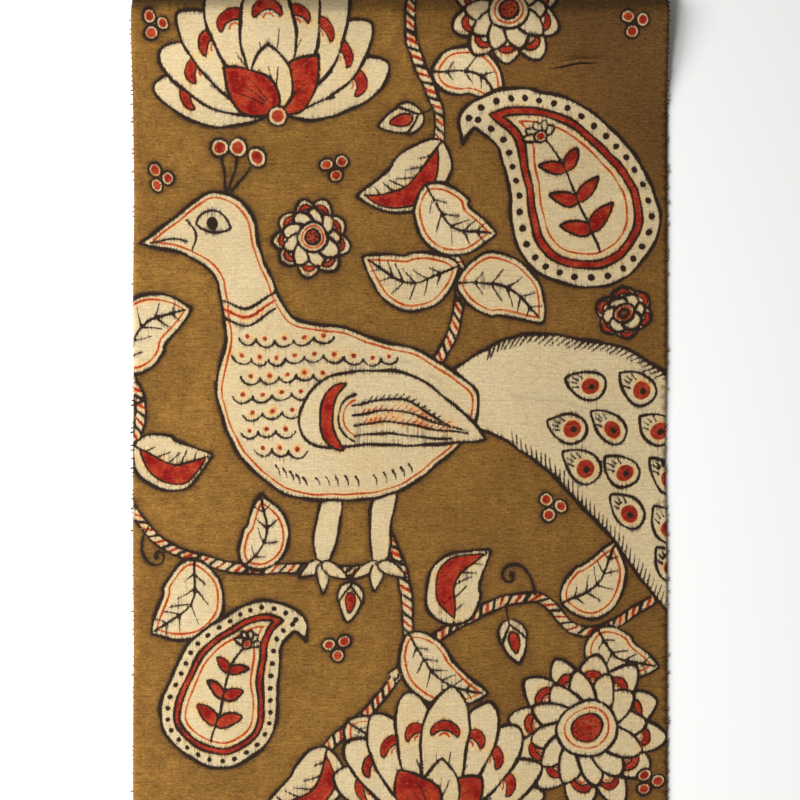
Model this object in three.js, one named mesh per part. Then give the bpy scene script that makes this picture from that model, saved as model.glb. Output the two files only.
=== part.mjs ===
// A cut length of kalamkari: one sheet of coarse handwoven cotton that lies face up on a
// flat surface, with its head end towards +Y. Millimetres, +Z up. The origin is in the
// middle of the length, on the surface that it lies on.
//
// The sheet touches the surface almost everywhere. Near its head it rises in one roll
// that runs from side to side and then drops to the head edge. A few low swells and
// two pinched creases lift it a little elsewhere. Its four edges are plain cuts.
import * as THREE from "three";

// The cut length as it lies
const CLOTH_WIDTH = 120;
const CLOTH_LENGTH = 183;
const CLOTH_THICKNESS = 1;

// The steps of its mesh. The rows are closer together where the head end is rolled.
const COLUMNS = 32;
const HEAD_ROWS = 26;
const BODY_ROWS = 34;
const HEAD_ZONE = 30;

// The roll at the head: how far in from the head edge its crest runs, how high it is, and
// how far the cloth takes to come down again behind the crest. Before the crest it turns
// down late: a turn above 1 makes the drop steeper towards the head edge.
const ROLL_INSET = 6.8;
const ROLL_HEIGHT = 3.8;
const ROLL_FALL = 22;
const ROLL_TURN = 1.5;
// Its crest wanders in and out in a wave from side to side, and its height varies in a
// shorter one. Each wave has its phase in the middle of the cloth, in radians.
const ROLL_WAVELENGTH = 94;
const ROLL_WANDER = 0.9;
const WANDER_PHASE = 0.6;
const ROLL_UNEVENNESS = 0.5;
const UNEVENNESS_RATE = 1.7;
const UNEVENNESS_PHASE = -0.9;

// Low swells, each an oval that rises smoothly from the surface
const SWELLS = [
  { x: -24, y: 12, reachX: 26, reachY: 34, height: 0.9 },
  { x: 33, y: -17, reachX: 22, reachY: 30, height: 0.7 },
  { x: -38, y: -60, reachX: 17, reachY: 24, height: 0.6 },
  { x: 22, y: 47, reachX: 28, reachY: 17, height: 0.8 },
  { x: 14, y: -68, reachX: 24, reachY: 15, height: 0.5 },
];

// Pinched creases, each a low ridge that runs out to nothing at both ends
const CREASES = [
  { x: 39.7, y: 76.2, length: 15, width: 3, height: 0.6, turn: 7 },
  { x: 30, y: 69.2, length: 9, width: 2.8, height: 0.35, turn: 17 },
];

// How far the cut edges wander inwards from straight. Each edge has two waves along it,
// and a phase of its own for the first. The second starts a few times further on.
const CUT_WANDER = 0.45;
const CUT_WAVES = [5, 11];
const CUT_SECOND_PHASE = 2.3;
const CUT_PHASES = { left: 1.1, right: 2.7, foot: 0.4, head: 3.6 };

// How far apart the two heights are measured that give a slope, each way from its point
const SLOPE_STEP = 0.2;

const COTTON_COLOUR = 0x9b7440;
const COTTON_ROUGHNESS = 0.95;

// A smooth rise from 0 to 1 as share goes from 0 to 1.
function eased(share) {
  const s = THREE.MathUtils.clamp(share, 0, 1);
  return s * s * (3 - 2 * s);
}

// A smooth hump: 1 in the middle and 0 from a distance of 1 outwards.
function hump(distance) {
  const inside = Math.max(0, 1 - distance * distance);
  return inside * inside;
}

// How high the roll lifts the underside at a point.
function rollHeight(x, y) {
  const phase = (2 * Math.PI * x) / ROLL_WAVELENGTH;
  const inset = ROLL_INSET + ROLL_WANDER * Math.sin(phase + WANDER_PHASE);
  const unevenness = Math.sin(UNEVENNESS_RATE * phase + UNEVENNESS_PHASE);
  const height = ROLL_HEIGHT + ROLL_UNEVENNESS * unevenness;
  const fromHead = CLOTH_LENGTH / 2 - y;
  const dropped = eased(Math.max(0, 1 - fromHead / inset) ** ROLL_TURN);
  const fallen = eased((fromHead - inset) / ROLL_FALL);
  return height * (1 - (fromHead < inset ? dropped : fallen));
}

function swellHeight(x, y) {
  const lifts = SWELLS.map(
    (s) => s.height * hump(Math.hypot((x - s.x) / s.reachX, (y - s.y) / s.reachY)),
  );
  return lifts.reduce((sum, lift) => sum + lift, 0);
}

function creaseHeight(x, y) {
  const lifts = CREASES.map((c) => {
    const turn = THREE.MathUtils.degToRad(c.turn);
    const along = (x - c.x) * Math.cos(turn) + (y - c.y) * Math.sin(turn);
    const across = (y - c.y) * Math.cos(turn) - (x - c.x) * Math.sin(turn);
    return c.height * hump((2 * along) / c.length) * hump((2 * across) / c.width);
  });
  return lifts.reduce((sum, lift) => sum + lift, 0);
}

// The height of the underside above the surface.
function underside(x, y) {
  return rollHeight(x, y) + swellHeight(x, y) + creaseHeight(x, y);
}

// The upward direction square to the sheet at a point.
function sheetNormal(x, y) {
  const span = 2 * SLOPE_STEP;
  const slopeX = (underside(x + SLOPE_STEP, y) - underside(x - SLOPE_STEP, y)) / span;
  const slopeY = (underside(x, y + SLOPE_STEP) - underside(x, y - SLOPE_STEP)) / span;
  return new THREE.Vector3(-slopeX, -slopeY, 1).normalize();
}

// How far a row of the mesh lies from the foot edge, for a share of the rows from 0 to 1.
function rowPlace(share) {
  const rows = share * (HEAD_ROWS + BODY_ROWS);
  const bodyLength = CLOTH_LENGTH - HEAD_ZONE;
  return rows <= BODY_ROWS
    ? (rows / BODY_ROWS) * bodyLength
    : bodyLength + ((rows - BODY_ROWS) / HEAD_ROWS) * HEAD_ZONE;
}

// How far an edge is cut in at a share of its length. It is 0 at the corners.
function cutIn(share, phase) {
  const [slow, quick] = CUT_WAVES;
  const wander =
    Math.sin(slow * share + phase) * Math.sin(quick * share + CUT_SECOND_PHASE * phase);
  return CUT_WANDER * wander * wander * hump(2 * share - 1);
}

// Moves a point of the plain rectangle inwards to the wandering cut edges.
function insideCuts(x, y) {
  const shareX = x / CLOTH_WIDTH + 0.5;
  const shareY = y / CLOTH_LENGTH + 0.5;
  const left = cutIn(shareY, CUT_PHASES.left) * (1 - shareX);
  const right = cutIn(shareY, CUT_PHASES.right) * shareX;
  const foot = cutIn(shareX, CUT_PHASES.foot) * (1 - shareY);
  const head = cutIn(shareX, CUT_PHASES.head) * shareY;
  return [x + left - right, y + foot - head];
}

// The whole cloth: a flat slab with the cloth's rows and columns, laid over its folds.
function makeCloth() {
  const slab = new THREE.BoxGeometry(
    CLOTH_WIDTH,
    CLOTH_LENGTH,
    CLOTH_THICKNESS,
    COLUMNS,
    HEAD_ROWS + BODY_ROWS,
    1,
  );
  slab.deleteAttribute("normal");
  slab.deleteAttribute("uv");
  const points = slab.getAttribute("position");
  for (let i = 0; i < points.count; i += 1) {
    const row = rowPlace(points.getY(i) / CLOTH_LENGTH + 0.5) - CLOTH_LENGTH / 2;
    const [x, y] = insideCuts(points.getX(i), row);
    const place = new THREE.Vector3(x, y, underside(x, y));
    if (points.getZ(i) > 0) {
      place.addScaledVector(sheetNormal(x, y), CLOTH_THICKNESS);
    }
    points.setXYZ(i, place.x, place.y, place.z);
  }
  const cotton = new THREE.MeshStandardMaterial({
    color: COTTON_COLOUR,
    roughness: COTTON_ROUGHNESS,
    metalness: 0,
  });
  const cloth = new THREE.Mesh(slab, cotton);
  cloth.name = "cloth";
  return cloth;
}

const part = new THREE.Group();
part.name = "kalamkari_cloth";
part.add(makeCloth());

export default part;
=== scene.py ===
import math
from dataclasses import dataclass

import bpy
import numpy as np
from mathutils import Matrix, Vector
from mathutils.geometry import delaunay_2d_cdt


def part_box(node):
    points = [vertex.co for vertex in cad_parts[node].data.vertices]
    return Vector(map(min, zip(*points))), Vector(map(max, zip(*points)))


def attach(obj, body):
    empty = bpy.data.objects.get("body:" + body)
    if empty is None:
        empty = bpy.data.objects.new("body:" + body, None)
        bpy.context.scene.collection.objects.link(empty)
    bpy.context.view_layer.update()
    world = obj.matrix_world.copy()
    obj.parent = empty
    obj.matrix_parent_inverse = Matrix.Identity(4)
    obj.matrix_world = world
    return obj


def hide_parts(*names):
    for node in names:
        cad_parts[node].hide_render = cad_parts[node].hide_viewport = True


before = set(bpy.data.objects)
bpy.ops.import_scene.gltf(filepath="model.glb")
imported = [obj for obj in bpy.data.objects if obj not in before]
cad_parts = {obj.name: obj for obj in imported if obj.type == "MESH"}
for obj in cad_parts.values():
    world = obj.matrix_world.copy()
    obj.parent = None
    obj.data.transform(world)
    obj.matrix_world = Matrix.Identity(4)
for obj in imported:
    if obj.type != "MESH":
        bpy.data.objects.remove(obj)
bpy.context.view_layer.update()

# Sizes on the cloth, in millimetres
MM = 0.001
low_corner, high_corner = (np.array(corner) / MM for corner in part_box("cloth"))
WIDTH, LENGTH = (round(float(side)) for side in (high_corner - low_corner)[:2])
THICKNESS = 0.6
# From one end of the weave to the next, across the cloth, and from one pick to the next
END_PITCH = 0.854
PICK_PITCH = 1.01
# Pen lines, and how far inside a figure's outline its orange line runs
BOLD = 0.72
MEDIUM = 0.56
FINE = 0.46
ECHO = 1.3


# How the cloth lies: its underside's height over the surface

# The roll at the head: its crest's distance from the head edge, its height, and how far
# the cloth takes to come down behind it. Before the crest it turns down late, more so
# the higher the turn. The crest wanders and varies in height, at rates and phases of
# the wavelength.
ROLL_INSET = 6.8
ROLL_HEIGHT = 3.8
ROLL_FALL = 22.0
ROLL_TURN = 1.5
ROLL_WAVELENGTH = 94.0
ROLL_WANDER = 0.9
WANDER_PHASE = 0.6
ROLL_UNEVENNESS = 0.5
UNEVENNESS_RATE = 1.7
UNEVENNESS_PHASE = -0.9

# Low swells: middle, reach along x and y, height
SWELLS = (
    (-24, 12, 26, 34, 0.9),
    (33, -17, 22, 30, 0.7),
    (-38, -60, 17, 24, 0.6),
    (22, 47, 28, 17, 0.8),
    (14, -68, 24, 15, 0.5),
)

# Soft creases: middle, length, width, height, turn in degrees
CREASES = (
    (39.7, 76.2, 15, 3.0, 0.55, 7),
    (30.0, 69.2, 9, 2.8, 0.35, 17),
    (-52.0, 87.4, 22, 3.4, 0.45, 8),
    (52.0, 46.5, 15, 3.0, 0.40, 10),
    (-38.0, 53.6, 9, 3.2, 0.28, -14),
    (10.0, 80.2, 34, 5.0, 0.35, -3),
    (-26.0, 77.0, 26, 4.2, 0.22, 3),
    (-34.0, 88.3, 46, 1.9, 0.20, 2),
    (24.0, 88.0, 40, 1.7, 0.16, -2),
    (-2.0, 86.6, 52, 1.6, 0.12, 1),
    (44.0, 86.4, 28, 1.8, 0.14, 3),
)

# The sharp crease under the first of them, pressed into the drawn face: where it runs, how
# deep its groove is and how wide, and the lip that stands up along its head side
PINCH = ((33.0, 74.1), (36.4, 74.6), (38.8, 75.1), (40.6, 75.4), (42.6, 75.35), (45.1, 75.7))
PINCH_DEPTH = 0.50
PINCH_WIDTH = 0.74
LIP_HEIGHT = 0.42
LIP_WIDTH = 1.2
PINCH_TAPER = 0.4

# The cut edges wander in, each at its own phase, as the product of two waves
CUT_WANDER = 0.45
CUT_WAVES = (5, 11)
CUT_SECOND_PHASE = 2.3
CUT_PHASES = {"left": 1.1, "right": 2.7, "foot": 0.4, "head": 3.6}
SLOPE_STEP = 0.2


def eased(share):
    s = np.clip(share, 0, 1)
    return s * s * (3 - 2 * s)


def hump(distance):
    return np.maximum(0, 1 - distance ** 2) ** 2


def roll_height(x, y):
    phase = 2 * math.pi * x / ROLL_WAVELENGTH
    inset = ROLL_INSET + ROLL_WANDER * np.sin(phase + WANDER_PHASE)
    height = ROLL_HEIGHT + ROLL_UNEVENNESS * np.sin(UNEVENNESS_RATE * phase + UNEVENNESS_PHASE)
    from_head = LENGTH / 2 - y
    dropped = eased(np.maximum(0, 1 - from_head / inset) ** ROLL_TURN)
    fallen = eased((from_head - inset) / ROLL_FALL)
    return height * (1 - np.where(from_head < inset, dropped, fallen))


def pinch(x, y):
    """The sharp crease's groove and lip, each from 0 to 1 and 0 past the crease's ends."""
    route = np.array(PINCH)
    center = np.interp(x, route[:, 0], route[:, 1])
    share = (x - route[0, 0]) / (route[-1, 0] - route[0, 0])
    taper = hump(2 * share - 1) ** PINCH_TAPER
    across = y - center
    groove = taper * hump(2 * across / PINCH_WIDTH)
    lip = taper * hump(2 * (across - LIP_WIDTH / 2) / LIP_WIDTH)
    return groove, lip


def lay_height(x, y):
    """Height of the cloth's underside at a point of the cloth."""
    height = roll_height(x, y)
    for mid_x, mid_y, reach_x, reach_y, lift in SWELLS:
        height = height + lift * hump(np.hypot((x - mid_x) / reach_x, (y - mid_y) / reach_y))
    for mid_x, mid_y, length, width, lift, degrees in CREASES:
        c, s = math.cos(math.radians(degrees)), math.sin(math.radians(degrees))
        along = (x - mid_x) * c + (y - mid_y) * s
        across = (y - mid_y) * c - (x - mid_x) * s
        height = height + lift * hump(2 * along / length) * hump(2 * across / width)
    return height


def cut_in(share, side):
    """How far an edge is cut in at a share of its length."""
    phase = CUT_PHASES[side]
    slow, fast = CUT_WAVES
    wander = np.sin(slow * share + phase) * np.sin(fast * share + CUT_SECOND_PHASE * phase)
    return CUT_WANDER * wander ** 2 * hump(2 * share - 1)


def laid(points, lift):
    """Where points of the flat cloth come to lie, lifted off its underside by lift."""
    x, y = points.T
    share_x, share_y = x / WIDTH + 0.5, y / LENGTH + 0.5
    x = x + cut_in(share_y, "left") * (1 - share_x) - cut_in(share_y, "right") * share_x
    y = y + cut_in(share_x, "foot") * (1 - share_y) - cut_in(share_x, "head") * share_y
    step = SLOPE_STEP
    slope_x = (lay_height(x + step, y) - lay_height(x - step, y)) / (2 * step)
    slope_y = (lay_height(x, y + step) - lay_height(x, y - step)) / (2 * step)
    up = np.column_stack([-slope_x, -slope_y, np.ones(len(x))])
    up /= np.linalg.norm(up, axis=1)[:, None]
    return np.column_stack([x, y, lay_height(x, y)]) + up * np.reshape(lift, (-1, 1))


# Drawing: curves, shapes and the marks that they leave

# The dyes, how far from a mark its distance is worked out, and the spacing of points on
# a line
DYES = ("ink", "red", "orange", "cream", "charcoal")
REACH = 3.0
STEP = 0.55
# Points on a smooth curve between two of the points that it runs through, and on a side
# of a blade
CURVE_POINTS = 24
BLADE_POINTS = 60
# An inset line leaves out the points that come nearer to the outline than this share
INSET_SHARE = 0.96
# The least length to divide by
TINY = 1e-9

hand = np.random.default_rng(11)
marks = []


@dataclass
class Mark:
    """One stroke of the pen, or one filled area where half_width is None."""
    dye: str
    path: np.ndarray
    half_width: object
    closed: bool


def evenly(path, step=STEP, closed=False):
    """The same path with a point every step, or as near to that as divides it."""
    path = np.asarray(path, float)
    if closed:
        path = np.vstack([path, path[:1]])
    lengths = np.hypot(*np.diff(path, axis=0).T)
    travel = np.concatenate([[0], np.cumsum(lengths)])
    count = max(12 if closed else 3, round(travel[-1] / step))
    places = np.linspace(0, travel[-1], count + 1)
    even = np.column_stack([np.interp(places, travel, path[:, i]) for i in (0, 1)])
    return even[:-1] if closed else even


def smooth(points):
    """A rounded curve through a few points."""
    p = np.asarray(points, float)
    p = np.vstack([2 * p[0] - p[1], p, 2 * p[-1] - p[-2]])
    t = np.linspace(0, 1, CURVE_POINTS, endpoint=False)[:, None]
    parts = []
    for a, b, c, d in zip(p, p[1:], p[2:], p[3:]):
        bend = 2 * a - 5 * b + 4 * c - d + t * (3 * (b - c) + d - a)
        parts.append(b + 0.5 * t * (c - a + t * bend))
    return evenly(np.vstack([*parts, p[-2:-1]]))


def sideways(path, closed=False):
    """Unit directions to the left of a path, one for each of its points."""
    if closed:
        ahead = np.roll(path, -1, axis=0) - np.roll(path, 1, axis=0)
    else:
        ahead = np.gradient(path, axis=0)
    ahead /= np.maximum(np.hypot(*ahead.T), TINY)[:, None]
    return np.column_stack([-ahead[:, 1], ahead[:, 0]])


def at_shares(path, shares):
    """Points at shares of an evenly spaced path, from 0 at its start to 1 at its end."""
    places = np.asarray(shares, float) * (len(path) - 1)
    index = np.arange(len(path))
    return np.column_stack([np.interp(places, index, path[:, i]) for i in (0, 1)])


def spot(path, share):
    """The point at a share of a path, with the directions to its left and ahead."""
    foot = at_shares(path, [share])[0]
    side = at_shares(sideways(path), [share])[0]
    return foot, side, np.array([side[1], -side[0]])


def blade(spine, width, base, tip):
    """The outline of a leaf-like shape on a spine. An end at 0.5 is round, at 1 pointed."""
    shares = (1 - np.cos(np.linspace(0, math.pi, BLADE_POINTS))) / 2
    middle = at_shares(smooth(spine), shares)
    profile = shares ** base * (1 - shares) ** tip
    reach = sideways(middle) * (profile / profile.max() * width / 2)[:, None]
    return evenly(np.vstack([middle + reach, (middle - reach)[::-1][1:-1]]), closed=True)


def heading(degrees):
    """The direction at an angle, as a step of 1."""
    return np.array([math.cos(math.radians(degrees)), math.sin(math.radians(degrees))])


def arc(center, radius, start, stop):
    """Part of a circle, with its angles in degrees."""
    count = max(4, round(abs(math.radians(stop - start)) * radius / STEP))
    turn = np.radians(np.linspace(start, stop, count + 1))
    return np.column_stack([center[0] + radius * np.cos(turn), center[1] + radius * np.sin(turn)])


def circle(center, radius):
    return evenly(arc(center, radius, 0, 360)[:-1], closed=True)


def placed(points, at, turn, size, flip=False):
    """Points of a motif's own frame, put where it goes on the cloth."""
    own = np.asarray(points, float) * size
    if flip:
        own = own * (-1, 1)
    c, s = heading(turn)
    return own @ np.array([[c, s], [-s, c]]) + at


def inset(outline, distance):
    """A closed line that runs at a distance inside a closed outline."""
    normals = sideways(outline, closed=True)
    x, y = outline.T
    turn = np.sign(np.sum(x * np.roll(y, -1) - y * np.roll(x, -1)))
    inner = outline + normals * distance * turn
    gaps = np.hypot(*(inner[:, None, :] - outline[None, :, :]).T)
    return evenly(inner[gaps.min(axis=0) > INSET_SHARE * distance], closed=True)


# Marks

def pen(path, width, dye="ink", closed=False):
    half = np.full(len(path), width / 2)
    marks.append(Mark(dye, np.asarray(path, float), half, closed))


def dab(path, width, dye="ink"):
    """A stroke that starts full and thins out to its end."""
    half = np.linspace(width / 2, width / 5, len(path))
    marks.append(Mark(dye, np.asarray(path, float), half, False))


def ray(base, degrees, near, far):
    """A dab out from a point, from one distance to another."""
    dab(evenly([base + heading(degrees) * near, base + heading(degrees) * far]), FINE)


def area(outline, dye):
    """A filled area. It hides what was drawn before it."""
    marks.append(Mark(dye, np.asarray(outline, float), None, True))


def patch(outline, dye, width):
    """A filled area with a pen line round it."""
    area(outline, dye)
    pen(outline, width, closed=True)


def dot(at, radius, dye="ink"):
    area(circle(at, radius), dye)


def reserve(outline, width, echo=None):
    """A figure kept cream, with its outline and, where wanted, a fine orange line inside."""
    area(outline, "cream")
    if echo:
        pen(inset(outline, echo), FINE, "orange", closed=True)
    pen(outline, width, closed=True)


def crescent(center, radius, start, stop, thickness, width):
    """A red crescent with an outline."""
    patch(blade(arc(center, radius, start, stop), thickness, 0.6, 0.6), "red", width)


def berry(at, radius):
    """A ringed dot with a red heart."""
    dot(at, radius, "cream")
    dot(at, 0.62 * radius, "red")
    pen(circle(at, radius), MEDIUM, closed=True)


def hatch(path, length, spacing, lean, width=FINE, dye="ink"):
    """Short strokes that stand along a path, to its left."""
    count = max(2, round((len(path) - 1) * STEP / spacing))
    for share in np.linspace(0, 1, count + 1)[1:-1]:
        foot, side, ahead = spot(path, share)
        reach = length * hand.uniform(0.8, 1.15)
        dab(evenly([foot, foot + side * reach + ahead * lean * reach]), width, dye)


# Motifs. Their sizes are shares of the motif's own size, or millimetres on the cloth.

LEAF_POINTS = 40
TENDRIL_POINTS = 40
VEIN_SPACING = 3.6
BAR_SPACING = 1.9
BERRY = 1.5
# Petals wider than this also have an orange line under their crescent.
WIDE_PETAL = 7
# A lotus's petals, and how far in degrees the outermost of them lean
LOTUS_PETALS = 9
LOTUS_FAN = 74
# A mango's middle line, from its round end to the curl at its tip, for a size of 1
PAISLEY_SPINE = ((0, -0.30), (0.015, -0.02), (0, 0.26), (-0.10, 0.48), (-0.27, 0.56), (-0.36, 0.47))
# The peacock faces left, its train sweeping down behind it. Its points are in a frame of
# its own. The train fills out from its ends at two powers, and is widest at a share of it.
TRAIN_SPINE = ((8, -1), (24, 2), (40, -6), (54, -24), (60, -46))
TRAIN_WIDTH = 25
TRAIN_ENDS = (0.72, 0.55)
TRAIN_WIDEST = 0.567
BODY_OUTLINE = (
    (-33, 24.0), (-27.8, 28.2), (-22, 31.2), (-16.8, 28.5), (-14.6, 20.5), (-10.5, 13),
    (-1, 10.6), (9, 7.4), (17, 1.5), (14, -6.5), (4, -13), (-8, -14.2), (-17.5, -9),
    (-21.6, 1), (-20.6, 11), (-21.8, 18.6), (-25.8, 21.6), (-33, 24.0),
)
WING_SPINE = ((-9.5, -3.6), (-1, -0.6), (8, -1.4), (18, -5.4))
# Scales in each row, from the neck down, and the distance from one to the next
SCALE_ROWS = (5, 9, 6, 4, 3, 3, 3)
SCALE_PITCH = 2.75
# Long feathers: how high each starts, where it ends, and the dye of its barbs
QUILLS = ((2.3, 12.6, "ink"), (0.7, 14.2, "red"), (-0.9, 15.2, "red"), (-2.5, 12.8, None))
# Rows of small feathers along the belly
BELLY_ROWS = (((-13.2, -9.0), (-9.0, -10.6)), ((-7, -10.9), (-1, -10.9)), ((1.4, -10.4), (6.6, -8.6)))
# What is left of the first sketch in charcoal: its lines, and their widths on the cloth
SKETCH = (
    (((-19, -4), (-16.6, -8.4), (-12, -11.4)), 0.9),
    (((2, 7.2), (7, 5.9), (11.5, 3.6)), 0.8),
    (((22, 1.0), (29, 0.6), (35, -2.2)), 0.9),
)


def red_half(rib, width, way):
    """One half of a leaf, dyed red as far as a share of the leaf's width."""
    middle = at_shares(rib, np.linspace(0.08, 0.92, LEAF_POINTS))
    reach = np.sin(np.linspace(0, math.pi, LEAF_POINTS)) ** 0.8 * width * 0.36
    edge = middle + sideways(middle) * way * reach[:, None]
    patch(evenly(np.vstack([middle, edge[::-1]]), closed=True), "red", FINE)


def leaf(base, tip, width, lean, dyed):
    """A pointed leaf with a midrib and side veins, or with one half dyed red."""
    base, tip = np.asarray(base, float), np.asarray(tip, float)
    axis = tip - base
    across = np.array([-axis[1], axis[0]])
    spine = np.array([base, base + axis * 0.5 + across * lean, tip])
    reserve(blade(spine, width, 0.62, 0.95), BOLD, echo=None if dyed else ECHO)
    rib = smooth(spine)
    dyed_side = 1 if lean > 0 else -1
    if dyed:
        red_half(rib, width, dyed_side)
    pen(rib[: int(0.95 * len(rib))], MEDIUM)
    veins = max(3, int(np.hypot(*axis) / VEIN_SPACING))
    ways = (-dyed_side,) if dyed else (1, -1)
    for share in np.linspace(0.16, 0.78, veins):
        foot, side, ahead = spot(rib, share)
        reach = width * 0.26 * math.sin(math.pi * share ** 0.8)
        for way in ways:
            dab(evenly([foot, foot + (side * way + ahead * 0.8) * reach]), FINE)


def petal(base, angle, length, width, marked=True):
    """One petal, and where marked a red crescent under its tip and strokes at its foot."""
    ahead = heading(angle)
    outline = blade([base, base + ahead * length * 0.5, base + ahead * length], width, 0.75, 0.62)
    reserve(outline, BOLD)
    if marked:
        heart = base + ahead * length * 0.62
        crescent(heart, width * 0.26, angle - 84, angle + 84, width * 0.2, FINE - 0.05)
        if width > WIDE_PETAL:
            pen(arc(heart, width * 0.1, angle - 70, angle + 70), FINE, "orange")
        for lean in (-7, 0, 7):
            ray(base, angle + lean, length * 0.2, length * hand.uniform(0.46, 0.56))


def rosette(center, radius, petals, turn=0.0):
    """A full-blown flower seen from the front, with two rings of petals."""
    center = np.asarray(center, float)
    for shift, size in ((0.5, 1.0), (0.0, 0.74)):
        width = 2 * math.pi * radius * size / petals * 0.86
        for k in range(petals):
            angle = turn + 360 * (k + shift) / petals + hand.uniform(-2, 2)
            length = radius * size * hand.uniform(0.95, 1.04)
            petal(center, angle, length, width, marked=size == 1.0)
    heart = radius * 0.36
    patch(circle(center, heart), "cream", BOLD * 0.9)
    pen(circle(center, heart * 0.72), FINE, "orange", closed=True)
    patch(circle(center, heart * 0.5), "red", MEDIUM)
    for k in range(6):
        dot(center + heart * 0.26 * heading(60 * k + turn), 0.35)


def lotus(base, size, turn):
    """A lotus seen from the side, its petals fanned out over a cup, the outer ones first."""
    base = np.asarray(base, float)
    leans = np.linspace(-LOTUS_FAN, LOTUS_FAN, LOTUS_PETALS)
    for lean in sorted(leans, key=abs, reverse=True):
        angle = 90 + turn + lean + hand.uniform(-1.5, 1.5)
        petal(base, angle, size * (1 - 0.16 * abs(lean) / LOTUS_FAN), size * 0.36)
    for k in (-1, 0, 1):
        angle = 90 + turn + 44 * k
        ahead = heading(angle) * size
        sheath = blade([base, base + ahead * 0.25, base + ahead * 0.46], size * 0.3, 0.6, 0.9)
        patch(sheath, "red" if k else "cream", BOLD * 0.9)
        for lean in (-12, 0, 12):
            ray(base, angle + lean, size * 0.1, size * 0.3)
    berry(base - heading(90 + turn) * 1.2, 2.2)


def paisley(at, size, turn, flip=False):
    """A mango: an outer border of beads, a red band and a sprig inside."""
    spine = placed(PAISLEY_SPINE, at, turn, size, flip)
    outline = blade(spine, size * 0.62, 0.5, 1.25)
    reserve(outline, BOLD * 1.1)
    patch(inset(outline, size * 0.075), "red", FINE + 0.15)
    patch(inset(outline, size * 0.105), "cream", MEDIUM)
    pen(inset(outline, size * 0.135), FINE, "orange", closed=True)
    edge = inset(outline, size * 0.038)
    beads = round(len(edge) * STEP / (size * 0.066))
    for foot in at_shares(edge, np.linspace(0, 1, beads, endpoint=False)):
        dot(foot, size * 0.0145)
    middle = smooth(spine)
    stem = middle[int(0.12 * len(middle)): int(0.62 * len(middle))]
    pen(stem, FINE + 0.15)
    for share in (0.16, 0.42, 0.68):
        foot, side, ahead = spot(stem, share)
        reach = size * 0.115 * (1.15 - 0.55 * share)
        for way in (1, -1):
            tip = foot + side * way * reach + ahead * reach * 0.7
            sprig = blade([foot, (foot + tip) / 2 + ahead * 0.3, tip], reach * 0.55, 0.6, 0.9)
            patch(sprig, "red", MEDIUM)
    top = stem[-1]
    for k in range(-2, 3):
        ahead = heading(turn + 90 + k * 38) * size * 0.075
        reserve(blade([top, top + ahead * 0.5, top + ahead], size * 0.0375, 0.6, 0.7), MEDIUM)
    berry(top, size * 0.026)


def vine(points, width=2.3):
    """A thick stem: two bold lines with slanted bars of ink and red between them."""
    path = smooth(points)
    reach = sideways(path) * width / 2
    area(np.vstack([path + reach, (path - reach)[::-1]]), "cream")
    bars = round(len(path) * STEP / BAR_SPACING)
    for k, share in enumerate(np.linspace(0, 1, bars + 1)[1:-1]):
        middle, side, ahead = spot(path, share)
        half = (side * 0.8 + ahead * 0.7) * width / 2
        pen(evenly([middle - half, middle + half]), FINE + 0.2, "red" if k % 2 else "ink")
    pen(path + reach, BOLD * 0.8)
    pen(path - reach, BOLD * 0.8)


def tendril(at, angle, size):
    """A fine line that curls up at its end."""
    share = np.linspace(0, 1, TENDRIL_POINTS)
    bearing = np.radians(angle) + 0.6 + 7.5 * share ** 1.6
    stride = size * (1 - 0.75 * share) / 14
    path = np.cumsum(np.column_stack([np.cos(bearing), np.sin(bearing)]) * stride[:, None], axis=0)
    path = evenly(path + at)
    pen(path, FINE + 0.2)
    dot(path[-1], 0.75)


def bud(base, angle, size):
    """A closed bud on a short stalk."""
    base = np.asarray(base, float)
    ahead = heading(angle) * size
    side = heading(angle + 90) * size
    pen(evenly([base, base + ahead * 0.3]), BOLD * 0.8)
    foot = base + ahead * 0.25
    outline = blade([foot, foot + ahead * 0.4, foot + ahead * 0.8], size * 0.46, 0.6, 0.9)
    reserve(outline, BOLD * 0.9)
    heart = [foot + ahead * 0.2, foot + ahead * 0.4, foot + ahead * 0.62]
    patch(blade(heart, size * 0.2, 0.6, 0.9), "red", FINE)
    for way in (1, -1):
        sepal = [foot, foot + ahead * 0.18 + side * way * 0.17, foot + ahead * 0.4 + side * way * 0.25]
        patch(blade(sepal, size * 0.14, 0.6, 0.9), "cream", BOLD * 0.8)


def cluster(at, turn):
    """Three berries close together."""
    for k in range(3):
        berry(at + 1.9 * heading(turn + 120 * k), BERRY)


def train_eye(eye, out, ahead, size):
    """One feather's eye: a drop with a ringed red heart and barbs behind it."""
    reach = 3.1 * size
    drop = blade([eye - ahead * reach, eye, eye + ahead * reach], 4.3 * size, 0.85, 0.5)
    patch(drop, "cream", FINE + 0.2)
    dot(eye + ahead * 0.9 * size, 1.25 * size, "red")
    dot(eye + ahead * 1.1 * size, 0.5 * size)
    for lean in (-0.75, -0.25, 0.25, 0.75):
        barb = eye - ahead * (1.4 - abs(lean)) * size + out * lean * size
        dab(evenly([barb, barb - ahead * 0.9 * size + out * lean * 0.3 * size]), FINE)


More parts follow.
